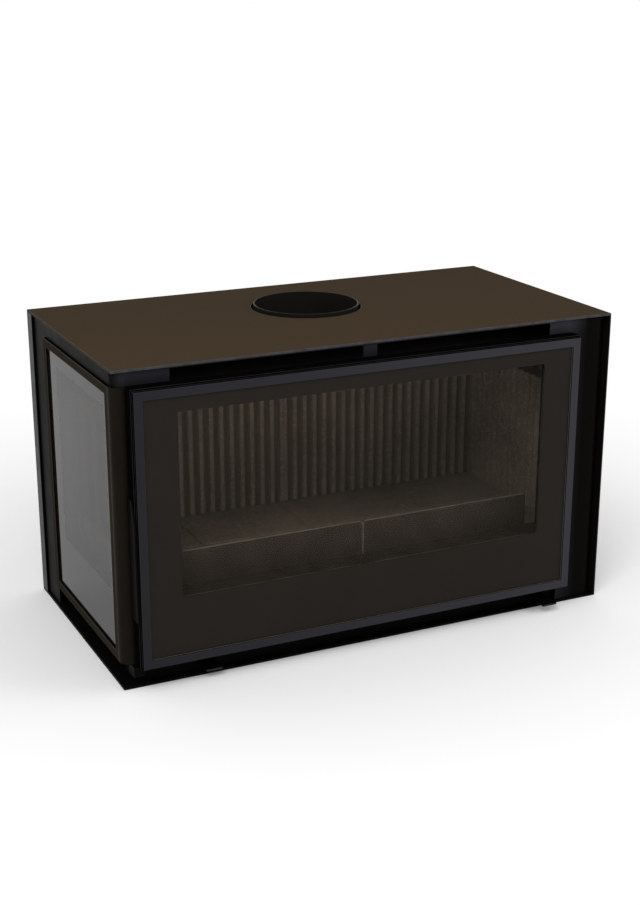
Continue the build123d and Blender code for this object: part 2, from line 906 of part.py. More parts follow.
def handle_blade():
    """A flat blade on edge beside the door, hung from its rounded head."""
    front = door_face + blade_front_gap
    bar = Pos(front + blade_depth / 2, (blade_low + blade_shoulder) / 2) * Rectangle(
        blade_depth, blade_shoulder - blade_low)
    head = Pos(axle_y, axle_z) * Circle(head_r)
    outline = make_hull(bar.edges() + head.edges())
    blade = lengthways(extrude(outline, amount=blade_t), blade_x)
    return chamfer(blade.faces().sort_by(Axis.X)[0].edges(), blade_chamfer)


def tongue_x():
    start = door_left + wall_t + bearing_l + arm_play
    return (start, start + tongue_t)


def latch_x():
    return grown(tongue_x(), (keeper_w - tongue_t) / 2 + latch_slot_gap)


def latch_slot_z():
    return (axle_z - latch_slot_drop, axle_z - latch_slot_drop + latch_slot_h)


def handle_axle():
    axle = rod_x(axle_r, (blade_x + blade_t, tongue_x()[1] + axle_end), axle_y, axle_z)
    return chamfer(axle.edges().filter_by(GeomType.CIRCLE).sort_by(Axis.X)[-1], pin_chamfer)


def latch_bearing():
    x = (door_left + wall_t, door_left + wall_t + bearing_l)
    body = block(x, grown((axle_y, axle_y), bearing_d / 2), grown((axle_z, axle_z), bearing_h / 2))
    edges = body.edges().filter_by(Axis.Y).sort_by(Axis.X)[-2:]
    return fillet(edges, bearing_corner_r) - rod_x(axle_r + pin_play, grown(x, past), axle_y, axle_z)


def latch_tongue():
    """The hooked cam on the axle, its barb just under the keeper's lip."""
    hub = Pos(axle_y, axle_z) * Circle(tongue_hub_r)
    end = axle_y + tongue_reach
    arm = Pos((axle_y + end) / 2, axle_z) * Rectangle(tongue_reach, tongue_h)
    barb = Pos(end - barb_w / 2, axle_z + (tongue_h + barb_h) / 2) * Rectangle(barb_w, barb_h)
    flat = hub + arm + barb - Pos(axle_y, axle_z) * Circle(axle_r)
    return lengthways(extrude(flat, amount=tongue_t), tongue_x()[0])


def latch_keeper():
    """The hooked plate on the jacket that the tongue's barb goes behind."""
    x = grown(tongue_x(), (keeper_w - tongue_t) / 2)
    lip_low = axle_z + tongue_h / 2 + barb_h + latch_play
    top = lip_low + keeper_lip + keeper_t
    front = axle_y + tongue_reach - barb_w - latch_play - keeper_t
    bar = block(x, (front, jacket_front), (top - keeper_t, top))
    return bar + block(x, (front, front + keeper_t), (lip_low, top))


PARTS = {
    "bottom_plate": bottom_plate,
    "top_plate": top_plate,
    "back_panel": back_panel,
    "right_side_panel": right_side_panel,
    "convection_jacket": convection_jacket,
    "corner_post": corner_post,
    "door_rest": door_rest,
    "firebox_shell": firebox_shell,
    "flue_collar": flue_collar,
    "collar_bolts": collar_bolts,
    "back_lining_left": lambda: back_lining((chamber_left, lining_split() - joint / 2)),
    "back_lining_right": lambda: back_lining((lining_split() + joint / 2, chamber_right)),
    "right_lining": right_lining,
    "left_jamb_lining": left_jamb_lining,
    "hearth_bricks": hearth_bricks,
    "baffle_plate": baffle_plate,
    "baffle_hangers": baffle_hangers,
    "sill_channel": sill_channel,
    "log_fence_left": log_fence_left,
    "log_fence_right": log_fence_right,
    "side_log_fence": side_log_fence,
    "air_wash_channel": air_wash_channel,
    "air_riser": air_riser,
    "plinth_frame": plinth_frame,
    "air_spigot": air_spigot,
    "primary_air_duct": primary_air_duct,
    "secondary_air_duct": secondary_air_duct,
    "lever_rails": all_lever_rails,
    "primary_air_lever": lambda: air_lever(primary_x, primary_pulled),
    "secondary_air_lever": lambda: air_lever(secondary_x, secondary_pulled),
    "side_frame": side_frame,
    "side_glass": side_glass,
    "side_glass_seal": side_glass_seal,
    "door_frame": door_frame,
    "door_glass": door_glass,
    "door_glass_tape": door_glass_tape,
    "door_rope_seal": rope_seal,
    "glass_clips": glass_clips,
    "clip_screws": clip_screws,
    "hinge_arms": hinge_arms,
    "hinge_blocks": hinge_blocks,
    "hinge_pins": hinge_pins,
    "handle_blade": handle_blade,
    "handle_axle": handle_axle,
    "latch_bearing": latch_bearing,
    "latch_tongue": latch_tongue,
    "latch_keeper": latch_keeper,
}


def main():
    os.makedirs("parts", exist_ok=True)
    to_origin = Pos(-case_w / 2, -case_d / 2, 0)
    for name, make in PARTS.items():
        export_step(to_origin * make(), f"parts/{name}.step")


main()
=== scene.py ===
import math
import bpy
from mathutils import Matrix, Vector


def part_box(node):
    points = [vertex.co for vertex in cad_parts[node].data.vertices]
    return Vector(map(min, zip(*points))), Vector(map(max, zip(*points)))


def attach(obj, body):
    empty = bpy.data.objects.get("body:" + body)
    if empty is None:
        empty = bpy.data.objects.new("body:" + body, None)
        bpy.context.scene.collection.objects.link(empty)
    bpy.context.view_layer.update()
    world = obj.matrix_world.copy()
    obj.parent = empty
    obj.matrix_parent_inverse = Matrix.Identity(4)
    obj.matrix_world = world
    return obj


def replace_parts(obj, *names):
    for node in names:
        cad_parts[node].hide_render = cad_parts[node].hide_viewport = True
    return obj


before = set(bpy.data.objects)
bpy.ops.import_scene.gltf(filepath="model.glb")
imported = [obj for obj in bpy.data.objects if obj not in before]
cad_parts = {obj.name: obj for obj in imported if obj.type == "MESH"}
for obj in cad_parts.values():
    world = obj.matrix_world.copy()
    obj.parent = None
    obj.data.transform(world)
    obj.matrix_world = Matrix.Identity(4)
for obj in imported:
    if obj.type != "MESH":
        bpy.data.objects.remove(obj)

bl_info = {
    "name": "Corner Wood Stove",
    "version": (1, 0, 0),
    "blender": (4, 5, 0),
    "location": "View3D > Sidebar > Stove",
    "description": "Dresses a built-in corner wood stove with its finishes and fine pieces",
    "category": "Object",
}

mm = 0.001

# Widths of the rounded edges

top_rounding = 0.7 * mm
plate_rounding = 0.5 * mm
sheet_rounding = 0.3 * mm
blade_rounding = 0.4 * mm
pane_rounding = 0.7 * mm
# The hinge notches leave a strip of 0.5 mm, and a wider rounding would fold it over them.
door_rounding = 0.2 * mm

# Fine sizes of single pieces

flue_hole_radius = 96.5 * mm
flue_hole_sides = 160
flue_cutter_length = 50 * mm
pane_back_gap = 0.05 * mm
# These sizes also bound painted light: the top plate's lit front edges, the door's lit face and its edges,
# and the fences' lit tops above their feet.
top_front_edge = 2 * mm
door_face_depth = 5 * mm
door_edge_depth = 10 * mm
fence_foot = 20 * mm
# The flutes' depth also sets the painted shade in them.
flute_depth = 5 * mm

# Directions and axes

forward = Vector((0, -1, 0))
leftward = Vector((-1, 0, 0))
rightward = Vector((1, 0, 0))
upward = Vector((0, 0, 1))
x_axis, y_axis, z_axis = 0, 1, 2

# Limits for merging, rounding and smoothing, and cosines by which a face looks one way

merge_distance = 0.005 * mm
flat_angle = math.radians(0.4)
rounded_angle = math.radians(35)
smooth_angle = math.radians(30)
facing_cosine = 0.9
square_cosine = 0.99

# Stage

floor_size = 60.0
floor_drop = 0.2 * mm
shadow_end, white_start = 0.55, 1.5
lamp_target = Vector((0, 0, 0.25))
film_width = 36.0
picture_shift = (0.0020, 0.0215)
plain_white = (1, 1, 1, 1)


# Nodes

def node(tree, kind, inputs=None, **settings):
    """A new shader node with its settings made and its sockets filled or linked."""
    made = tree.nodes.new(kind)
    for key, value in settings.items():
        setattr(made, key, value)
    for key, value in (inputs or {}).items():
        socket = made.inputs[key]
        if isinstance(value, bpy.types.NodeSocket):
            tree.links.new(value, socket)
        else:
            socket.default_value = value
    return made


def new_material(name):
    """An empty material and its tree."""
    material = bpy.data.materials.new(name)
    material.use_nodes = True
    material.node_tree.nodes.clear()
    return material, material.node_tree


def shaded(material, shader):
    """The material, with the shader as its surface."""
    node(material.node_tree, "ShaderNodeOutputMaterial", {"Surface": shader})
    return material


def object_place(tree):
    """A point's place in its object."""
    return node(tree, "ShaderNodeTexCoord").outputs["Object"]


def coordinates(tree, place):
    """The X, Y and Z of a place."""
    return node(tree, "ShaderNodeSeparateXYZ", {0: place}).outputs


def noise(tree, place, scale, detail=2.0, roughness=0.5):
    """A noise between zero and one."""
    made = node(tree, "ShaderNodeTexNoise",
                {"Vector": place, "Scale": scale, "Detail": detail, "Roughness": roughness})
    return made.outputs["Fac"]


def between(tree, value, low, high, start=0.0, end=1.0):
    """The value, carried from start..end to low..high and held there."""
    made = node(tree, "ShaderNodeMapRange", {"Value": value, 1: start, 2: end, 3: low, 4: high})
    return made.outputs[0]


def rising(tree, value, start, end):
    """Zero up to the start and one from the end on."""
    return between(tree, value, 0.0, 1.0, start, end)


def falling(tree, value, start, end):
    """One up to the start and zero from the end on."""
    return between(tree, value, 1.0, 0.0, start, end)


def spread(tree, value, low, high):
    """A noise, with the middle where most of it lies carried to low..high."""
    return between(tree, value, low, high, 0.3, 0.7)


def blended(tree, factor, first, second):
    """Two colours mixed by a factor."""
    made = node(tree, "ShaderNodeMix", {0: factor, 6: first, 7: second}, data_type="RGBA")
    return made.outputs[2]


def math_of(tree, operation, first, second):
    """One sum, product or the like of two values."""
    return node(tree, "ShaderNodeMath", {0: first, 1: second}, operation=operation).outputs[0]


def sums(tree, *values):
    """The sum of several values, each with its weight."""
    parts = [math_of(tree, "MULTIPLY", value, weight) for value, weight in values]
    total = parts[0]
    for part in parts[1:]:
        total = math_of(tree, "ADD", total, part)
    return total


def bumped(tree, height, depth, strength):
    """The surface's normal, stirred by a height."""
    return node(tree, "ShaderNodeBump",
                {"Height": height, "Distance": depth, "Strength": strength}).outputs[0]


def scaled(colour, by=1.0):
    """A colour made lighter or darker, with its alpha."""
    return (colour[0] * by, colour[1] * by, colour[2] * by, 1.0)


def principled(tree, **inputs):
    """The main shader, with its sockets named by underscores."""
    return node(tree, "ShaderNodeBsdfPrincipled",
                {key.replace("_", " "): value for key, value in inputs.items()}).outputs[0]


# Finishes

def paint(name, colour, roughness, specular, cloud=0.1, sheen_and_white_fade=None, sheen_mask=None):
    """Heat-proof paint: orange peel, faint clouds in tone and gloss, and a painted sheen of a second
    colour where a given function says.
    """
    material, tree = new_material(name)
    place = object_place(tree)
    grain = noise(tree, place, 1400.0, 3.0)
    peel = noise(tree, place, 330.0)
    clouds = noise(tree, place, 5.0, 4.0, 0.6)
    patches = noise(tree, place, 38.0, 3.0, 0.6)
    tone = blended(tree, clouds, scaled(colour, 1 - cloud), scaled(colour, 1 + cloud))
    # A painted sheen: a second colour laid over the paint, most where the given function is one.
    if sheen_and_white_fade is not None:
        tone = blended(tree, sheen_mask(tree, place), tone, scaled(sheen_and_white_fade))
    specks = between(tree, grain, 0.0, 0.12, 0.45, 0.8)
    tone = blended(tree, specks, tone, scaled(colour, 1.6))
    gloss = spread(tree, sums(tree, (clouds, 0.6), (patches, 0.4)), roughness - 0.07, roughness + 0.09)
    normal = bumped(tree, sums(tree, (grain, 0.5), (peel, 0.5)), 0.12 * mm, 0.55)
    shader = principled(tree, Base_Color=tone, Roughness=gloss, Normal=normal,
                        Specular_IOR_Level=specular)
    return shaded(material, shader)


def fascia_reflection_mask(tree, place):
    """How much painted reflection lies on the jacket's front: most at the top right over the door, less
    toward the door's top as painted shade, not at all beyond it.
    """
    split = coordinates(tree, place)
    door_low, door_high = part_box("door_frame")
    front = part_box("convection_jacket")[0].y
    foot, head = door_high.z - 6 * mm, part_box("top_plate")[0].z
    middle, full = (door_low.x + door_high.x) / 2, door_high.x - 50 * mm
    end, past_end = door_high.x - 5 * mm, door_high.x + 33 * mm
    foot_share, left_share = 0.38, 0.55
    sheen_mask = between(tree, split["Z"], foot_share, 1.0, foot, head)
    for part in (between(tree, split["X"], left_share, 1.0, middle, full),
                 falling(tree, split["X"], end, past_end),
                 falling(tree, split["Y"], front + 2 * mm, front + 12 * mm)):
        sheen_mask = math_of(tree, "MULTIPLY", sheen_mask, part)
    return sheen_mask


def hinge_side_sheen(tree, place):
    """How much painted reflection lies on the door's face: nothing at its handle side, growing to one at
    its hinge side.
    """
    low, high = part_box("door_frame")
    return rising(tree, coordinates(tree, place)["X"], low.x, high.x)


def edge_wear_and_highlight(name, colour, roughness, specular):
    """Lighter paint on an edge: polished by hands and cloths, and a painted highlight."""
    material, tree = new_material(name)
    worn = noise(tree, object_place(tree), 60.0, 4.0, 0.7)
    tone = blended(tree, rising(tree, worn, 0.35, 0.75), scaled(colour), scaled(colour, 2.2))
    gloss = spread(tree, worn, roughness + 0.08, roughness - 0.08)
    shader = principled(tree, Base_Color=tone, Roughness=gloss, Specular_IOR_Level=specular)
    return shaded(material, shader)


def sooted_steel(name, colour, roughness=0.7, specular=0.3, soot=1.0, inside=None):
    """Matt steel round the fire with patches of soot, kept dark on a node's front and over its roof."""
    material, tree = new_material(name)
    place = object_place(tree)
    patches = noise(tree, place, 22.0, 5.0, 0.65)
    fine = noise(tree, place, 800.0, 3.0)
    tone = blended(tree, rising(tree, patches, 0.35, 0.7), scaled(colour, 1 - 0.4 * soot),
                   scaled(colour, 1 + 0.3 * soot))
    gloss = spread(tree, patches, roughness + 0.12, roughness - 0.1)
    if inside is not None:
        split = coordinates(tree, place)
        low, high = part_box(inside)
        outer = scaled(colour, 0.12)
        for part in (rising(tree, split["Z"], high.z - 2 * mm, high.z - 1 * mm),
                     falling(tree, split["Y"], low.y + 2 * mm, low.y + 3 * mm)):
            tone = blended(tree, part, tone, outer)
    normal = bumped(tree, sums(tree, (fine, 0.6), (patches, 0.4)), 0.2 * mm, 0.6)
    shader = principled(tree, Base_Color=tone, Roughness=gloss, Normal=normal,
                        Specular_IOR_Level=specular)
    return shaded(material, shader)


def refractory(name, colour, fluted=None):
    """Pressed vermiculite: flakes of mica in a smoked body, with painted shade in the flutes of a fluted
    node.
    """
    material, tree = new_material(name)
    place = object_place(tree)
    flakes = node(tree, "ShaderNodeTexVoronoi", {"Vector": place, "Scale": 420.0}, feature="F1").outputs
    bright = node(tree, "ShaderNodeSeparateColor", {0: flakes["Color"]}).outputs[0]
    smoke = noise(tree, place, 6.0, 4.0, 0.6)
    fine = noise(tree, place, 900.0, 3.0)
    tone = blended(tree, rising(tree, smoke, 0.3, 0.7), scaled(colour, 0.75), scaled(colour, 1.25))
    mica = between(tree, bright, 0.0, 0.55, 0.6, 1.0)
    tone = blended(tree, mica, tone, scaled(colour, 1.9))
    # Painted shade in the flutes, darker toward their backs.
    if fluted is not None:
        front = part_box(fluted)[0].y
        flute_shade = rising(tree, coordinates(tree, place)["Y"], front + 0.2 * mm, front + flute_depth)
        tone = blended(tree, flute_shade, tone, scaled(colour, 0.4))
    normal = bumped(tree, sums(tree, (flakes["Distance"], 0.6), (fine, 0.4)), 0.6 * mm, 0.7)
    shader = principled(tree, Base_Color=tone, Roughness=0.85, Normal=normal, Specular_IOR_Level=0.25)
    return shaded(material, shader)


def bright_steel(name, colour):
    """Plain turned steel with fine lines."""
    material, tree = new_material(name)
    place = node(tree, "ShaderNodeMapping",
                 {"Vector": object_place(tree), "Scale": (60.0, 60.0, 2400.0)}).outputs[0]
    lines = noise(tree, place, 1.0)
    tone = blended(tree, lines, scaled(colour, 0.85), scaled(colour, 1.1))
    shader = principled(tree, Base_Color=tone, Metallic=1.0, Roughness=spread(tree, lines, 0.27, 0.47),
                        Normal=bumped(tree, lines, 0.05 * mm, 0.4))
    return shaded(material, shader)


def pane_glass(name, tint, mirror_ior):
    """Clear ceramic glass: tinted light through it and a clean reflection on it."""
    material, tree = new_material(name)
    through = node(tree, "ShaderNodeBsdfTransparent", {"Color": (*tint, 1.0)}).outputs[0]
    mirror = node(tree, "ShaderNodeBsdfGlossy", {"Color": plain_white, "Roughness": 0.02}).outputs[0]
    share = node(tree, "ShaderNodeFresnel", {"IOR": mirror_ior}).outputs[0]
    shader = node(tree, "ShaderNodeMixShader", {0: share, 1: through, 2: mirror}).outputs[0]
    return shaded(material, shader)


def printed_film(name, colour, roughness, specular):
    """Black enamel on the glass: matt where it is bare, glossy where the glass lies over it."""
    material, tree = new_material(name)
    place = object_place(tree)
    clouds = noise(tree, place, 14.0, 3.0)
    tone = blended(tree, clouds, scaled(colour, 0.9), scaled(colour, 1.1))
    gloss = spread(tree, noise(tree, place, 300.0), roughness * 0.9, roughness * 1.1)
    shader = principled(tree, Base_Color=tone, Roughness=gloss, Specular_IOR_Level=specular)
    return shaded(material, shader)


def fibre(name, colour):
    """Knitted glass fibre: strands with a soft nap."""
    material, tree = new_material(name)
    place = object_place(tree)
    strands = noise(tree, place, 900.0, 3.0)
    nap = noise(tree, place, 2400.0)
    tone = blended(tree, strands, scaled(colour, 0.6), scaled(colour, 1.3))
    normal = bumped(tree, sums(tree, (strands, 0.7), (nap, 0.3)), 0.5 * mm, 0.8)
    shader = principled(tree, Base_Color=tone, Roughness=0.95, Normal=normal, Sheen_Weight=0.2)
    return shaded(material, shader)


# Modelling

def deselect():
    """Leaves no object selected."""
    for thing in list(bpy.context.selected_objects):
        thing.select_set(False)


def only(piece):
    """Makes one object the only selected and active one."""
    deselect()
    piece.select_set(True)
    bpy.context.view_layer.objects.active = piece


def placed(name):
    """Names the new primitive and moves its place into its mesh."""
    piece = bpy.context.active_object
    piece.name = name
    only(piece)
    bpy.ops.object.transform_apply(location=True, rotation=True, scale=True)
    return piece


def block(name, low, high):
    """A box between two corners, as a start."""
    deselect()
    bpy.ops.mesh.primitive_cube_add(size=1.0, location=(low + high) / 2, scale=high - low)
    return placed(name)


def round_bar(name, radius, centre, length, sides):
    """An upright cylinder about a centre, as a start."""
    deselect()
    bpy.ops.mesh.primitive_cylinder_add(vertices=sides, radius=radius, depth=length, location=centre)
    return placed(name)


def apply_modifier(piece, modifier):
    """Makes what a modifier does part of the mesh."""
    only(piece)
    bpy.ops.object.modifier_apply(modifier=modifier.name)


def cut(piece, cutter):
    """Takes the cutter's shape out of the piece and deletes the cutter."""
    modifier = piece.modifiers.new("cut", "BOOLEAN")
    modifier.operation = "DIFFERENCE"
    modifier.solver = "EXACT"
    modifier.object = cutter
    apply_modifier(piece, modifier)
    bpy.data.objects.remove(cutter)


def eased(piece, width, segments=2, edge_slot=-1):
    """Rounds the sharp edges a little, in a finish of their own where one is given."""
    modifier = piece.modifiers.new("eased", "BEVEL")
    modifier.width = width
    modifier.segments = segments
    modifier.limit_method = "ANGLE"
    modifier.angle_limit = rounded_angle
    modifier.use_clamp_overlap = False
    modifier.material = edge_slot
    apply_modifier(piece, modifier)
    bpy.ops.object.shade_smooth_by_angle(angle=smooth_angle)
    modifier = piece.modifiers.new("weighted", "WEIGHTED_NORMAL")
    modifier.weight = 100
    modifier.keep_sharp = True
    apply_modifier(piece, modifier)


def copied(node_name):
    """A merged copy of a node's mesh, with its flat faces joined again."""
    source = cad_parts[node_name]
    piece = bpy.data.objects.new(node_name + "_piece", source.data.copy())
    bpy.context.scene.collection.objects.link(piece)
    piece.data.materials.clear()
    only(piece)
    bpy.ops.object.mode_set(mode="EDIT")
    bpy.ops.mesh.select_all(action="SELECT")
    bpy.ops.mesh.remove_doubles(threshold=merge_distance)
    bpy.ops.mesh.dissolve_limited(angle_limit=flat_angle)
    bpy.ops.object.mode_set(mode="OBJECT")
    return piece


def coated(piece, *materials):
    """Gives a piece its finishes, in the order of its material slots."""
    for material in materials:
        piece.data.materials.append(material)
    return piece


def carried(piece, body):
    """Says which body carries a piece."""
    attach(piece, body)
    return piece


def dressed(material, *node_names):
    """Puts a better finish on nodes that keep their own shape."""
    for node_name in node_names:
        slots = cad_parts[node_name].data.materials
        slots.clear()
        slots.append(material)


def outermost(piece, outward):
    """How far out the centre of a piece's outermost face lies."""
    return max(face.center.dot(outward) for face in piece.data.polygons)


def coat_lit_side(piece, material, outward, above=-math.inf, within=math.inf):
    """Coats the flat faces that look one way, above a height and within a depth of the outermost, with a
    finish that paints on them the light falling on that side.
    """
    coated(piece, material)
    slot = len(piece.data.materials) - 1
    front = outermost(piece, outward) - within
    for face in piece.data.polygons:
        seen = face.normal.dot(outward) > facing_cosine and face.center.dot(outward) > front
        if face.material_index == 0 and seen and face.center.z > above:
            face.material_index = slot


def no_highlight_behind(piece, outward, depth, slot=0):
    """Takes the edge finish and its painted highlight off the edges that lie further back than a depth."""
    front = outermost(piece, outward) - depth
    for face in piece.data.polygons:
        if face.material_index == 1 and face.center.dot(outward) < front:
            face.material_index = slot


def softened(node_name, body, width, face, edge):
    """A copy of a node with eased edges in lighter paint, worn and with a painted highlight, which stands
    for it.
    """
    piece = coated(copied(node_name), face, edge)
    eased(piece, width, edge_slot=1)
    carried(piece, body)
    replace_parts(piece, node_name)
    return piece


def split_faces(piece, place, axis, depth):
    """Cuts both faces of a pane along a straight line."""
    only(piece)
    bpy.ops.object.mode_set(mode="EDIT")
    bpy.ops.mesh.select_mode(type="FACE")
    bpy.ops.mesh.select_all(action="DESELECT")
    bpy.ops.object.mode_set(mode="OBJECT")
    for face in piece.data.polygons:
        face.select = abs(face.normal[depth]) > square_cosine
    bpy.ops.object.mode_set(mode="EDIT")
    point, normal = Vector((0, 0, 0)), Vector((0, 0, 0))
    point[axis], normal[axis] = place, 1.0
    bpy.ops.mesh.bisect(plane_co=point, plane_no=normal)
    bpy.ops.object.mode_set(mode="OBJECT")


def pane(node_name, body, glass, margins, across, depth):
    """A pane with rounded edges and a border printed black round its clear middle."""
    finish = stove_materials()
    printed = bpy.context.scene.stove_print
    low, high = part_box(node_name)
    high[depth] -= pane_back_gap
    thickness = high[depth] - low[depth]
    piece = coated(block(node_name + "_piece", low, high), finish[glass], finish["printed_border"],
                   finish[glass + "_inner_face"], finish[glass + "_border"])
    back_print, back_clear, front_print = 1, 2, 3

    def opening(wider):
        """The border's opening, wider all round: left, right, foot and head."""
        return (low[across] + margins[0] - wider, high[across] - margins[1] + wider,
                low.z + printed.bottom - wider, high.z - printed.top + wider)

    for wider in (0.0, thickness):
        for place, axis in zip(opening(wider), (across, across, z_axis, z_axis)):
            split_faces(piece, place, axis, depth)
    eased(piece, pane_rounding, segments=3)
    for face in piece.data.polygons:
        back = face.normal[depth] > square_cosine
        left, right, foot, head = opening(thickness if back else 0.0)
        clear = left < face.center[across] < right and foot < face.center.z < head
        if back:
            face.material_index = back_clear if clear else back_print
        elif not clear:
            face.material_index = front_print
    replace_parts(carried(piece, body), node_name)


# Settings

class StoveFinishes(bpy.types.PropertyGroup):
    """Colours and gloss of the stove's finishes, with the reflections, highlights and shade painted on
    some of them.
    """

    casing_colour: bpy.props.FloatVectorProperty(
        name="Casing", description="Paint of the casing and jacket", subtype="COLOR", size=3,
        min=0, max=1, default=(0.0022, 0.002, 0.0017))
    # The fascia colour is a painted reflection laid on the jacket's front over the door; it is not faded
    # paint.
    fascia_reflection_colour: bpy.props.FloatVectorProperty(
        name="Fascia", description="Paint over the door, faded by the warm air from the slots",
        subtype="COLOR", size=3, min=0, max=1, default=(0.0306, 0.0315, 0.04))
    # The top plate colour is a painted brown reflection, not browned paint; its paint has no specular.
    top_sheen_colour: bpy.props.FloatVectorProperty(
        name="Top plate", description="Paint of the top plate, browned by heat", subtype="COLOR",
        size=3, min=0, max=1, default=(0.0495, 0.0345, 0.0222))
    # The top edge colour is a painted highlight on the top plate's front face and front edges.
    top_edge_highlight_colour: bpy.props.FloatVectorProperty(
        name="Top edge", description="Paint of the top plate's front edge", subtype="COLOR",
        size=3, min=0, max=1, default=(0.026, 0.025, 0.028))
    # The door frame colour is a painted reflection: the front face is lighter than the black walls, and
    # lighter still toward the hinges.
    door_sheen_colour: bpy.props.FloatVectorProperty(
        name="Door frame", description="Paint of the door frame", subtype="COLOR", size=3,
        min=0, max=1, default=(0.0225, 0.022, 0.0265))
    # The side frame colour is a lit copy of the paint, on the face that looks out to the left.
    side_lit_colour: bpy.props.FloatVectorProperty(
        name="Side frame", description="Paint of the side pane's frame", subtype="COLOR", size=3,
        min=0, max=1, default=(0.0225, 0.0185, 0.0142))
    post_colour: bpy.props.FloatVectorProperty(
        name="Corner post", description="Paint of the corner post", subtype="COLOR", size=3,
        min=0, max=1, default=(0.0075, 0.0055, 0.0038))
    # The lever edge colour is partly rubbed paint and partly a painted highlight on the levers' front
    # faces and edges.
    lever_highlight_colour: bpy.props.FloatVectorProperty(
        name="Lever edge", description="Rubbed paint on the air levers", subtype="COLOR", size=3,
        min=0, max=1, default=(0.008, 0.008, 0.01))
    lining_colour: bpy.props.FloatVectorProperty(
        name="Lining", description="Refractory lining, darkened by smoke", subtype="COLOR", size=3,
        min=0, max=1, default=(0.19, 0.162, 0.122))
    soot_colour: bpy.props.FloatVectorProperty(
        name="Sooted steel", description="Ducts, rails and hinge parts", subtype="COLOR", size=3,
        min=0, max=1, default=(0.02, 0.019, 0.018))
    fence_colour: bpy.props.FloatVectorProperty(
        name="Log fences", description="Steel of the log fences and the sill", subtype="COLOR",
        size=3, min=0, max=1, default=(0.056, 0.047, 0.036))
    # The fence edge colour is partly wear from the logs and partly a painted highlight on the fences' tops
    # and ends.
    fence_wear_and_highlight_colour: bpy.props.FloatVectorProperty(
        name="Fence edges", description="Edges of the log fences, rubbed by logs", subtype="COLOR",
        size=3, min=0, max=1, default=(0.2, 0.185, 0.16))
    shell_colour: bpy.props.FloatVectorProperty(
        name="Firebox shell", description="Scaled steel inside the firebox", subtype="COLOR",
        size=3, min=0, max=1, default=(0.2, 0.165, 0.13))
    steel_colour: bpy.props.FloatVectorProperty(
        name="Bare steel", description="Pins, screws, bolts, clips and latch", subtype="COLOR", size=3,
        min=0, max=1, default=(0.5, 0.48, 0.45))
    fibre_colour: bpy.props.FloatVectorProperty(
        name="Seals", description="Glass fibre of the seals and tape", subtype="COLOR", size=3,
        min=0, max=1, default=(0.16, 0.155, 0.145))
    print_colour: bpy.props.FloatVectorProperty(
        name="Printed border", description="Black print on the back of the glass", subtype="COLOR",
        size=3, min=0, max=1, default=(0.0138, 0.0116, 0.0096))
    paint_roughness: bpy.props.FloatProperty(
        name="Paint roughness", description="Roughness of the satin paint", subtype="FACTOR",
        min=0.1, max=0.9, default=0.42)


class StovePrint(bpy.types.PropertyGroup):
    """Widths of the printed border on both panes."""

    door_left: bpy.props.FloatProperty(
        name="Door left", description="Border at the door glass's left edge", unit="LENGTH",
        default=65 * mm)
    door_right: bpy.props.FloatProperty(
        name="Door right", description="Border at the door glass's right edge", unit="LENGTH",
        default=63 * mm)
    top: bpy.props.FloatProperty(
        name="Top", description="Border along the top of both panes", unit="LENGTH", default=34 * mm)
    bottom: bpy.props.FloatProperty(
        name="Bottom", description="Border along the foot of both panes", unit="LENGTH",
        default=107 * mm)
    side_front: bpy.props.FloatProperty(
        name="Side front", description="Border at the side pane's front edge", unit="LENGTH",
        default=26 * mm)
    side_back: bpy.props.FloatProperty(
        name="Side back", description="Border at the side pane's back edge", unit="LENGTH",
        default=56 * mm)


class StoveStage(bpy.types.PropertyGroup):
    """Camera and light."""

    camera_place: bpy.props.FloatVectorProperty(
        name="Camera", description="Where the camera stands", unit="LENGTH", size=3,
        default=(-1.1332, -2.3864, 1.1287))
    camera_ahead: bpy.props.FloatVectorProperty(
        name="Ahead", description="Which way the camera looks", subtype="DIRECTION", size=3,
        default=(0.4065, 0.8552, -0.3215))
    lens: bpy.props.FloatProperty(
        name="Lens", description="Focal length in millimetres", unit="CAMERA", default=62.07)
    floor_colour: bpy.props.FloatVectorProperty(
        name="Floor", description="Plain pale floor", subtype="COLOR", size=3, min=0, max=1,
        default=(0.93, 0.93, 0.93))
    ambient: bpy.props.FloatProperty(name="Ambient", description="Light from all round", default=0.75)
    key_power: bpy.props.FloatProperty(
        name="Key lamp", description="Power of the key lamp in watts", unit="POWER", default=44.0)
    fill_power: bpy.props.FloatProperty(
        name="Fill lamp", description="Power of the fill lamp in watts", unit="POWER", default=22.0)


# The stove's finishes

def make_paints(look):
    """Painted plate and sheet."""
    satin = look.paint_roughness
    paint("casing_paint", look.casing_colour, satin, specular=0.02)
    paint("panel_paint", scaled(look.casing_colour, 2.2), satin - 0.04, specular=0.09)
    # The jacket's front carries a painted reflection over the door, with painted shade toward the door's
    # top.
    paint("jacket_paint_and_sheen", look.casing_colour, satin, specular=0.015,
          sheen_and_white_fade=look.fascia_reflection_colour, sheen_mask=fascia_reflection_mask)
    paint("post_paint", look.post_colour, satin, specular=0.03)
    # The collar: a lighter copy of the casing paint, painted light for its lit outer wall.
    paint("collar_lit_paint", scaled(look.casing_colour, 3.5), satin, specular=0.05)
    # The top: a painted brown reflection in place of a gloss.
    paint("top_sheen_paint", look.top_sheen_colour, satin + 0.04, specular=0.0, cloud=0.03)
    # The door's front face: a lit copy of the paint, with a painted reflection that grows toward the
    # hinges.
    paint("door_face_sheen", scaled(look.door_sheen_colour, 0.62), satin - 0.1, specular=0.06,
          sheen_and_white_fade=scaled(look.door_sheen_colour, 1.33), sheen_mask=hinge_side_sheen)
    # The side frame's outward face: a lit copy of the paint.
    paint("side_face_lit_paint", look.side_lit_colour, satin - 0.1, specular=0.0)
    # The shaded copy of the paint: painted shade on the walls of the door frame and the side frame.
    paint("frame_wall_shade", scaled(look.casing_colour, 0.8), satin, specular=0.0)


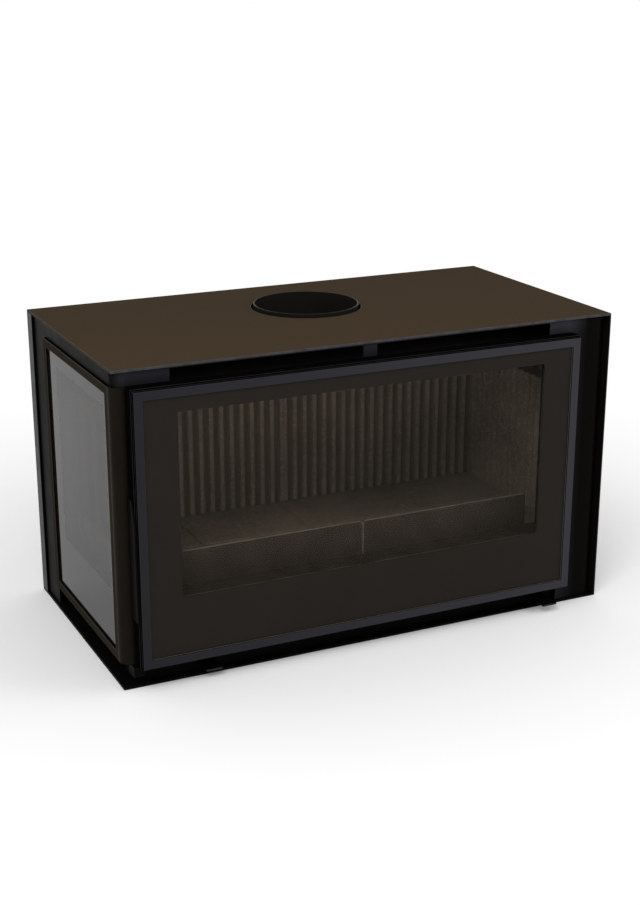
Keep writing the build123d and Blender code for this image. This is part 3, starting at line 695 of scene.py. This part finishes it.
def make_edges(look):
    """Edges of the painted pieces: worn paint and a painted highlight."""
    edge_wear_and_highlight("casing_edge", look.casing_colour, roughness=0.36, specular=0.06)
    edge_wear_and_highlight("panel_edge", scaled(look.casing_colour, 4.0), roughness=0.34, specular=0.2)
    edge_wear_and_highlight("top_edge_highlight", look.top_edge_highlight_colour, roughness=0.34, specular=0.1)
    edge_wear_and_highlight("door_edge", look.door_sheen_colour, roughness=0.3, specular=0.1)
    edge_wear_and_highlight("side_edge", look.side_lit_colour, roughness=0.3, specular=0.05)
    edge_wear_and_highlight("lever_edge_highlight", look.lever_highlight_colour, roughness=0.3, specular=0.2)


def make_firebox_finishes(look):
    """Steel, lining and seals round the fire."""
    sooted_steel("sooted_steel", look.soot_colour)
    sooted_steel("sooted_fence", look.fence_colour, roughness=0.75, specular=0.1, soot=0.4)
    sooted_steel("scaled_steel", look.shell_colour, roughness=0.8, inside="firebox_shell")
    edge_wear_and_highlight("fence_wear_and_highlight", look.fence_wear_and_highlight_colour, roughness=0.5, specular=0.3)
    refractory("lining", look.lining_colour)
    # The fluted lining has painted shade in its flutes.
    refractory("fluted_lining", scaled(look.lining_colour, 1.2), fluted="back_lining_left")
    refractory("hearth", scaled(look.lining_colour, 0.95))
    bright_steel("plain_steel", look.steel_colour)
    fibre("knitted_fibre", look.fibre_colour)


def make_glass(look):
    """Both panes' glass, seen from outside and inside, and their printed borders."""
    for name, tint, outer_ior, inner_ior in (("door_pane", (0.9, 0.885, 0.86), 1.14, 1.08),
                                             ("side_pane", (0.5, 0.49, 0.47), 1.2, 1.05)):
        pane_glass(name, tint, outer_ior)
        pane_glass(name + "_inner_face", tint, 1 / inner_ior)
    printed_film("printed_border", look.print_colour, roughness=0.56, specular=0.05)
    printed_film("door_pane_border", look.print_colour, roughness=0.06, specular=0.05)
    printed_film("side_pane_border", scaled(look.print_colour, 0.6), roughness=0.06, specular=0.13)


def stove_materials():
    """All the finishes by name, made once and then shared."""
    if bpy.data.materials.get("casing_paint") is None:
        look = bpy.context.scene.stove_finishes
        for make in (make_paints, make_edges, make_firebox_finishes, make_glass):
            make(look)
    return bpy.data.materials


# The stove's pieces

class STOVE_OT_plates(bpy.types.Operator):
    """Makes the casing's plates, back and right side"""

    bl_idname = "stove.plates"
    bl_label = "Casing plates"

    def execute(self, context):
        finish = stove_materials()
        low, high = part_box("top_plate")
        collar_low, collar_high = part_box("flue_collar")
        centre = (collar_low + collar_high) / 2
        centre.z = high.z
        plate = block("top_plate_piece", low, high)
        cut(plate, round_bar("hole", flue_hole_radius, centre, flue_cutter_length, flue_hole_sides))
        # The top plate's front face and front edges get a painted highlight; its edges further back keep
        # the plain edge finish.
        coated(plate, finish["top_sheen_paint"], finish["top_edge_highlight"], finish["casing_edge"])
        eased(plate, top_rounding, edge_slot=1)
        no_highlight_behind(plate, forward, top_front_edge, slot=2)
        coat_lit_side(plate, finish["top_edge_highlight"], forward)
        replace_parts(carried(plate, "casing"), "top_plate")
        plate = block("bottom_plate_piece", *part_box("bottom_plate"))
        coated(plate, finish["casing_paint"], finish["casing_edge"])
        eased(plate, plate_rounding, edge_slot=1)
        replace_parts(carried(plate, "casing"), "bottom_plate")
        for name in ("back_panel", "right_side_panel"):
            softened(name, "casing", sheet_rounding, finish["panel_paint"],
                     finish["panel_edge"])
        return {"FINISHED"}


class STOVE_OT_jacket(bpy.types.Operator):
    """Makes the convection jacket, corner post, door rest and plinth"""

    bl_idname = "stove.jacket"
    bl_label = "Convection jacket"

    def execute(self, context):
        finish = stove_materials()
        # The jacket's paint carries the painted reflection over the door.
        for name, slot, coat in (("convection_jacket", "black_sheet", "jacket_paint_and_sheen"),
                                 ("corner_post", "black_sheet", "post_paint"),
                                 ("door_rest", "black_plate", "casing_paint"),
                                 ("plinth_frame", "black_sheet", "casing_paint")):
            softened(name, "casing", sheet_rounding, finish[coat], finish["casing_edge"])
        return {"FINISHED"}


class STOVE_OT_door(bpy.types.Operator):
    """Makes the door frame and its glass, and finishes the seals, clips and hinges"""

    bl_idname = "stove.door"
    bl_label = "Door"

    def execute(self, context):
        finish = stove_materials()
        # The door frame's walls are painted shade. Its front face within door_face_depth gets the painted
        # reflection, and its edges further back lose their painted highlight.
        piece = softened("door_frame", "door", door_rounding, finish["frame_wall_shade"],
                         finish["door_edge"])
        coat_lit_side(piece, finish["door_face_sheen"], forward, within=door_face_depth)
        no_highlight_behind(piece, forward, door_edge_depth)
        printed = context.scene.stove_print
        pane("door_glass", "door", "door_pane", (printed.door_left, printed.door_right),
             across=x_axis, depth=y_axis)
        dressed(finish["plain_steel"], "glass_clips", "clip_screws", "hinge_pins")
        dressed(finish["sooted_steel"], "hinge_blocks", "hinge_arms", "latch_bearing")
        dressed(finish["knitted_fibre"], "door_glass_tape", "door_rope_seal")
        return {"FINISHED"}


class STOVE_OT_side_window(bpy.types.Operator):
    """Makes the fixed side pane in its frame"""

    bl_idname = "stove.side_window"
    bl_label = "Side pane"

    def execute(self, context):
        finish = stove_materials()
        # The side frame's walls are painted shade. The face that looks out to the left gets the lit copy
        # of its paint.
        piece = softened("side_frame", "casing", plate_rounding,
                         finish["frame_wall_shade"], finish["side_edge"])
        coat_lit_side(piece, finish["side_face_lit_paint"], leftward)
        printed = context.scene.stove_print
        pane("side_glass", "casing", "side_pane", (printed.side_front, printed.side_back),
             across=y_axis, depth=x_axis)
        dressed(finish["knitted_fibre"], "side_glass_seal")
        return {"FINISHED"}


class STOVE_OT_firebox(bpy.types.Operator):
    """Makes the log fences and finishes the firebox, its lining and its air ways"""

    bl_idname = "stove.firebox"
    bl_label = "Firebox"

    def execute(self, context):
        finish = stove_materials()
        dressed(finish["scaled_steel"], "firebox_shell", "baffle_hangers")
        dressed(finish["sooted_steel"], "air_wash_channel", "air_riser", "primary_air_duct",
                "secondary_air_duct", "lever_rails")
        dressed(finish["sooted_fence"], "sill_channel")
        dressed(finish["fluted_lining"], "back_lining_left", "back_lining_right")
        dressed(finish["lining"], "right_lining", "left_jamb_lining", "baffle_plate")
        dressed(finish["hearth"], "hearth_bricks")
        for name in ("log_fence_left", "log_fence_right", "side_log_fence"):
            piece = softened(name, "casing", plate_rounding, finish["sooted_fence"],
                             finish["fence_wear_and_highlight"])
            low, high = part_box(name)
            # Tops and ends above the feet: wear and a painted highlight; the feet's edges keep the plain
            # finish without it.
            for outward in (upward, rightward, leftward):
                coat_lit_side(piece, finish["fence_wear_and_highlight"], outward, above=low.z + fence_foot)
            no_highlight_behind(piece, upward, high.z - low.z - fence_foot)
        return {"FINISHED"}


class STOVE_OT_flue(bpy.types.Operator):
    """Makes the flue collar and finishes its bolts and the air spigot"""

    bl_idname = "stove.flue"
    bl_label = "Flue collar"

    def execute(self, context):
        finish = stove_materials()
        # The collar's lighter paint is painted light on its lit wall.
        softened("flue_collar", "casing", sheet_rounding, finish["collar_lit_paint"],
                 finish["casing_edge"])
        dressed(finish["plain_steel"], "collar_bolts")
        dressed(finish["panel_paint"], "air_spigot")
        return {"FINISHED"}


class STOVE_OT_controls(bpy.types.Operator):
    """Makes the handle and the air levers, and finishes the latch"""

    bl_idname = "stove.controls"
    bl_label = "Handle and levers"

    def execute(self, context):
        finish = stove_materials()
        softened("handle_blade", "handle", blade_rounding, finish["casing_paint"],
                 finish["casing_edge"])
        dressed(finish["plain_steel"], "handle_axle", "latch_tongue", "latch_keeper")
        for name, body in (("primary_air_lever", "primary_lever"),
                           ("secondary_air_lever", "secondary_lever")):
            piece = softened(name, body, sheet_rounding, finish["casing_paint"],
                             finish["lever_edge_highlight"])
            # The lever's front face gets the painted highlight of its tip.
            coat_lit_side(piece, finish["lever_edge_highlight"], forward)
        return {"FINISHED"}


# The stage

class STOVE_OT_stage(bpy.types.Operator):
    """Sets the pale floor, the soft light and the camera"""

    bl_idname = "stove.stage"
    bl_label = "Stage"

    def execute(self, context):
        stage = context.scene.stove_stage
        floor_piece(stage)
        world_light(stage)
        lamp("key_lamp", place=(-1.6, -1.9, 2.6), size=1.8, power=stage.key_power)
        lamp("fill_lamp", place=(2.3, -1.7, 1.6), size=1.6, power=stage.fill_power)
        camera = bpy.data.objects.new("camera", bpy.data.cameras.new("camera"))
        context.scene.collection.objects.link(camera)
        camera.location = stage.camera_place
        camera.rotation_euler = Vector(stage.camera_ahead).to_track_quat("-Z", "Y").to_euler()
        camera.data.sensor_width = film_width
        camera.data.lens = stage.lens
        camera.data.shift_x, camera.data.shift_y = picture_shift
        context.scene.camera = camera
        context.scene.view_settings.view_transform = "Standard"
        return {"FINISHED"}


def floor_piece(stage):
    """A pale floor that keeps the stove's shadow and turns white further out."""
    deselect()
    bpy.ops.mesh.primitive_plane_add(size=floor_size, location=(0, 0, -floor_drop))
    floor = placed("floor")
    material, tree = new_material("floor")
    pale = node(tree, "ShaderNodeBsdfDiffuse", {"Color": (*stage.floor_colour, 1.0)}).outputs[0]
    white = node(tree, "ShaderNodeEmission", {"Color": plain_white, "Strength": 1.0}).outputs[0]
    reach = node(tree, "ShaderNodeVectorMath", {0: object_place(tree)}, operation="LENGTH")
    sheen_and_white_fade = node(tree, "ShaderNodeMapRange",
                {"Value": reach.outputs["Value"], 1: shadow_end, 2: white_start},
                interpolation_type="SMOOTHSTEP").outputs[0]
    shown = math_of(tree, "MULTIPLY", sheen_and_white_fade, background_rays(tree))
    shader = node(tree, "ShaderNodeMixShader", {0: shown, 1: pale, 2: white}).outputs[0]
    coated(floor, shaded(material, shader))


def background_rays(tree):
    """One for a ray that shows the background: seen direct, mirrored or through glass."""
    path = node(tree, "ShaderNodeLightPath").outputs
    seen = math_of(tree, "MAXIMUM", path["Is Camera Ray"], path["Is Glossy Ray"])
    return math_of(tree, "MAXIMUM", seen, path["Is Transmission Ray"])


def world_light(stage):
    """Soft light from all round, before a white background."""
    world = bpy.data.worlds.new("studio")
    world.use_nodes = True
    tree = world.node_tree
    tree.nodes.clear()
    soft = node(tree, "ShaderNodeBackground", {"Color": plain_white, "Strength": stage.ambient}).outputs[0]
    white = node(tree, "ShaderNodeBackground", {"Color": plain_white, "Strength": 1.0}).outputs[0]
    both = node(tree, "ShaderNodeMixShader", {0: background_rays(tree), 1: soft, 2: white}).outputs[0]
    node(tree, "ShaderNodeOutputWorld", {"Surface": both})
    bpy.context.scene.world = world


def lamp(name, place, size, power):
    """A round lamp that looks at the stove."""
    data = bpy.data.lights.new(name, "AREA")
    data.shape = "DISK"
    data.size = size
    data.energy = power
    light = bpy.data.objects.new(name, data)
    bpy.context.scene.collection.objects.link(light)
    light.location = place
    light.rotation_euler = (lamp_target - Vector(place)).to_track_quat("-Z", "Y").to_euler()


OPERATORS = (STOVE_OT_plates, STOVE_OT_jacket, STOVE_OT_door, STOVE_OT_side_window, STOVE_OT_firebox,
             STOVE_OT_flue, STOVE_OT_controls, STOVE_OT_stage)


class STOVE_PT_panel(bpy.types.Panel):
    """Lists the settings and the steps that make the stove"""

    bl_idname = "STOVE_PT_panel"
    bl_label = "Corner Wood Stove"
    bl_space_type = "VIEW_3D"
    bl_region_type = "UI"
    bl_category = "Stove"

    def draw(self, context):
        scene = context.scene
        for settings in (scene.stove_finishes, scene.stove_print, scene.stove_stage):
            box = self.layout.box()
            for name in settings.__annotations__:
                box.prop(settings, name)
        for operator in OPERATORS:
            self.layout.operator(operator.bl_idname)


CLASSES = (StoveFinishes, StovePrint, StoveStage, *OPERATORS, STOVE_PT_panel)


def register():
    for made in CLASSES:
        bpy.utils.register_class(made)
    bpy.types.Scene.stove_finishes = bpy.props.PointerProperty(type=StoveFinishes)
    bpy.types.Scene.stove_print = bpy.props.PointerProperty(type=StovePrint)
    bpy.types.Scene.stove_stage = bpy.props.PointerProperty(type=StoveStage)


def unregister():
    del bpy.types.Scene.stove_stage
    del bpy.types.Scene.stove_print
    del bpy.types.Scene.stove_finishes
    for made in reversed(CLASSES):
        bpy.utils.unregister_class(made)


def main():
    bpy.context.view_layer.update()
    register()
    bpy.ops.stove.plates()
    bpy.ops.stove.jacket()
    bpy.ops.stove.door()
    bpy.ops.stove.side_window()
    bpy.ops.stove.firebox()
    bpy.ops.stove.flue()
    bpy.ops.stove.controls()
    bpy.ops.stove.stage()


if __name__ == "__main__":
    main()
